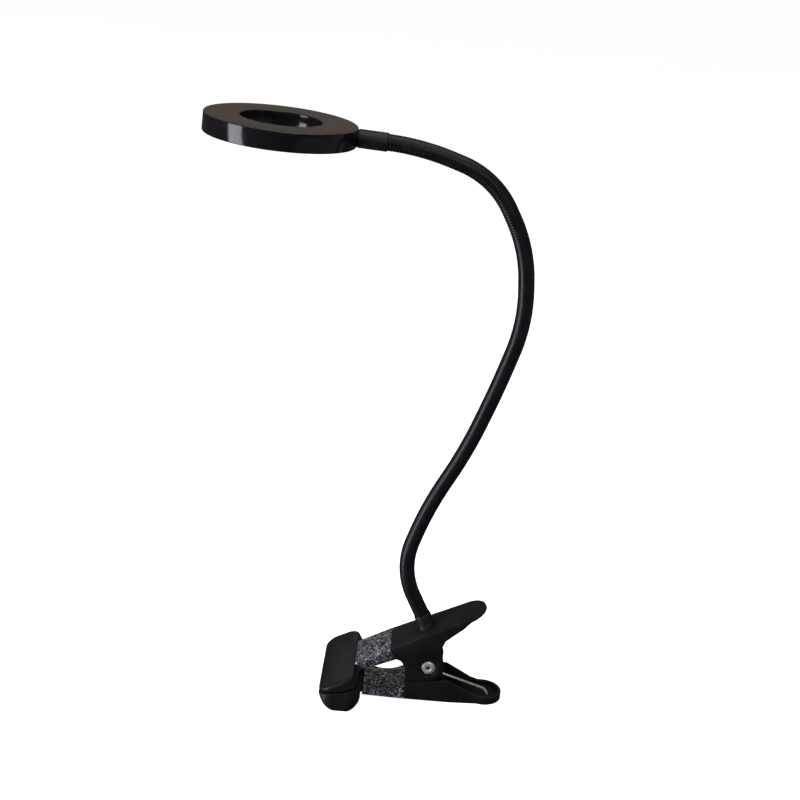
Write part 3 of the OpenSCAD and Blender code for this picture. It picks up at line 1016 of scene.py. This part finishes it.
    def rivet(self) -> None:
        """The hollow rivet, with a domed and rolled head at each end."""
        bore = self.rivet_bore_r
        head = self.rivet_reach
        top = head + self.rivet_dome
        half = [
            (bore, head - 4 * MM), (bore, top - 0.45 * MM), (bore + 0.35 * MM, top - 0.1 * MM),
            (bore + 0.9 * MM, top), (self.rivet_head_r - 1.1 * MM, top - 0.25 * MM),
            (self.rivet_head_r - 0.35 * MM, top - 0.65 * MM), (self.rivet_head_r, head + 0.2 * MM),
            (self.rivet_head_r - 0.1 * MM, head + 0.02 * MM), (self.rivet_r, head + 0.02 * MM),
        ]
        centre = [(1e-5 * MM, head - 4 * MM)]
        mirrored = [(radius, -height) for radius, height in reversed(centre + half)]
        place = Matrix.Translation(self.rivet_place())
        piece = turned("domed_rivet", centre + half + mirrored, Along.Y, place, steps=64)
        make_active(piece)
        bpy.ops.object.shade_smooth_by_angle(angle=math.radians(SMOOTH_ANGLE))
        dress(piece, self.finishes.rivet)
        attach(piece, "lower")
        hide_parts("pivot_rivet")
        report(piece)

    def leave(self, target: Vector, side: int) -> float:
        """The angle on the coil at which a straight leg to a point leaves it.

        Args:
            target: The leg's far end.
            side: 1 where the leg leaves above the line to the point, and -1 below it.

        Returns:
            The angle in radians, from +X to +Z.
        """
        away = target - self.rivet_place()
        distance = math.hypot(away.x, away.z)
        return math.atan2(away.z, away.x) + side * math.acos(self.coil_r / distance)

    def spring(self) -> None:
        """The torsion spring: a coil round the rivet and a leg under each handle."""
        pivot = self.rivet_place()
        under = self.plate_n - self.plate_t - self.wire_r - self.leg_gap
        end_x, end_z = self.hook_end
        lower_end = Vector((end_x, 0, end_z))
        lower_tip = Vector((self.hook_tip_x, 0, self.plate_t + self.wire_r + self.hook_gap))
        upper_end = self.from_upper(self.upper_leg_s, under)
        start = self.leave(lower_end, -1)
        stop = self.leave(upper_end, 1) - math.tau * self.coil_turns
        count = self.coil_steps * self.coil_turns
        coil = []
        for step in range(count + 1):
            share = step / count
            angle = start + (stop - start) * share
            across = self.coil_half * (2 * share - 1)
            coil.append(pivot + Vector((
                self.coil_r * math.cos(angle), across, self.coil_r * math.sin(angle))))
        near = Vector((0, -self.coil_half, 0))
        far = Vector((0, self.coil_half, 0))
        hook = [lower_tip, lower_end.lerp(lower_tip, self.hook_bend),
                lower_end.lerp(pivot, self.leg_start)]
        points = [spot + near for spot in hook] + coil + [upper_end + far]
        piece = wire("clip_spring", points, self.wire_r)
        dress(piece, self.finishes.spring)
        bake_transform(piece)
        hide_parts("torsion_spring")
        report(piece)


# ---- studio ----


@dataclass(frozen=True)
class Panel:
    """A soft rectangular light.

    Attributes:
        name: The light's name.
        place: Where it is.
        aim: The point that it faces.
        size: Its width and height.
        power: Its power in watts.
        colour: Its colour.
    """

    name: str
    place: tuple[float, float, float]
    aim: tuple[float, float, float]
    size: tuple[float, float]
    power: float
    colour: Colour

    def make(self) -> None:
        """Adds the light to the scene."""
        light = bpy.data.lights.new(self.name, "AREA")
        light.shape = "RECTANGLE"
        light.size, light.size_y = self.size
        light.energy = self.power
        light.color = self.colour
        lamp = bpy.data.objects.new(self.name, light)
        lamp.location = self.place
        facing = Vector(self.aim) - Vector(self.place)
        lamp.rotation_euler = facing.to_track_quat("-Z", "Y").to_euler()
        bpy.context.scene.collection.objects.link(lamp)


PANELS = (
    Panel("overhead", place=(0.1, -0.1, 1.3), aim=(0, 0, 0), size=(1.2, 1.2), power=12.0,
          colour=(1.0, 0.96, 0.9)),
    Panel("side_window", place=(-0.578, -0.301, 0.12), aim=(0, 0, 0.12), size=(0.24, 0.8),
          power=8.8, colour=(0.9, 0.93, 1.0)),
    Panel("right_card", place=(0.8, -0.25, 0.0), aim=(0, 0, 0.2), size=(1.6, 0.6), power=0.9,
          colour=(0.95, 0.95, 1.0)),
    Panel("front_fill", place=(0.35, -1.2, 0.9), aim=(0, 0, 0.1), size=(0.9, 0.7), power=5.6,
          colour=(0.86, 0.9, 1.0)),
)


@dataclass
class Studio:
    """A pale floor, soft light and the camera."""

    floor_size: float = 16.0
    camera_place: tuple[float, float, float] = (0.0345, -0.7493, 0.4489)
    azimuth: float = -1.066
    elevation: float = -19.77
    roll: float = 4.25
    lens: float = 65.66
    sky: Colour = (0.16, 0.138, 0.12)
    ground: Colour = (0.06, 0.06, 0.07)
    sky_from: float = 0.12
    glow: float = 0.86
    sensor_width: float = 36.0

    def build(self) -> None:
        """Makes the floor, the lights and the camera."""
        self.floor()
        self.world()
        for panel in PANELS:
            panel.make()
        self.camera()

    def floor(self) -> None:
        """A plain pale floor at the height on which the clip stands, lit from within.

        It is a light table, which glows evenly. The lamp neither mirrors it nor takes light from
        it, so that its black parts stay black.
        """
        bpy.ops.object.select_all(action="DESELECT")
        bpy.ops.mesh.primitive_plane_add(size=self.floor_size, location=(0, 0, 0))
        floor = newest("studio_floor")
        table = Finish("pale_floor", (0.86, 0.86, 0.86), (0.9, 0.9, 0.9), (0.8, 0.9),
                       blotch=2.0, grain=300, depth=0.0, specular=0.1).make()
        shader = table.node_tree.nodes["Principled BSDF"]
        shader.inputs["Emission Color"].default_value = (1, 1, 1, 1)
        shader.inputs["Emission Strength"].default_value = self.glow
        dress(floor, table)
        for ray in ("diffuse", "glossy", "transmission", "shadow"):
            setattr(floor, f"visible_{ray}", False)

    def world(self) -> None:
        """A dim surrounding, warm above the horizon and cooler below it."""
        world = bpy.data.worlds.new("soft_sky")
        world.use_nodes = True
        tree = world.node_tree
        compass = tree.nodes.new("ShaderNodeTexCoord")
        parts = tree.nodes.new("ShaderNodeSeparateXYZ")
        tones = tree.nodes.new("ShaderNodeValToRGB")
        low, high = tones.color_ramp.elements
        low.position, low.color = 0.0, (*self.ground, 1)
        high.position, high.color = self.sky_from, (*self.sky, 1)
        tree.links.new(compass.outputs["Generated"], parts.inputs["Vector"])
        tree.links.new(parts.outputs["Z"], tones.inputs["Fac"])
        tree.links.new(tones.outputs["Color"], tree.nodes["Background"].inputs["Color"])
        bpy.context.scene.world = world
        bpy.context.scene.view_settings.view_transform = "Standard"

    def camera(self) -> None:
        """The camera, which looks a little down on the lamp and leans to one side."""
        turn, rise, lean = (math.radians(x) for x in (self.azimuth, self.elevation, self.roll))
        ahead = Vector((math.sin(turn) * math.cos(rise), math.cos(turn) * math.cos(rise),
                        math.sin(rise)))
        level = ahead.cross(Vector((0, 0, 1))).normalized()
        upright = level.cross(ahead)
        right = level * math.cos(lean) + upright * math.sin(lean)
        up = upright * math.cos(lean) - level * math.sin(lean)
        data = bpy.data.cameras.new("camera")
        data.lens = self.lens
        data.sensor_width = self.sensor_width
        camera = bpy.data.objects.new("camera", data)
        facing = Matrix((right, up, -ahead)).transposed().to_4x4()
        camera.matrix_world = Matrix.Translation(self.camera_place) @ facing
        bpy.context.scene.collection.objects.link(camera)
        bpy.context.scene.camera = camera


def main() -> None:
    """Builds the studio and the lamp."""
    logging.basicConfig(level=logging.INFO, format="%(message)s")
    Studio().build()
    finishes = Finishes.build()
    RingHead(finishes).build()
    Gooseneck(finishes).build()
    Clip(finishes).build()


if __name__ == "__main__":
    main()
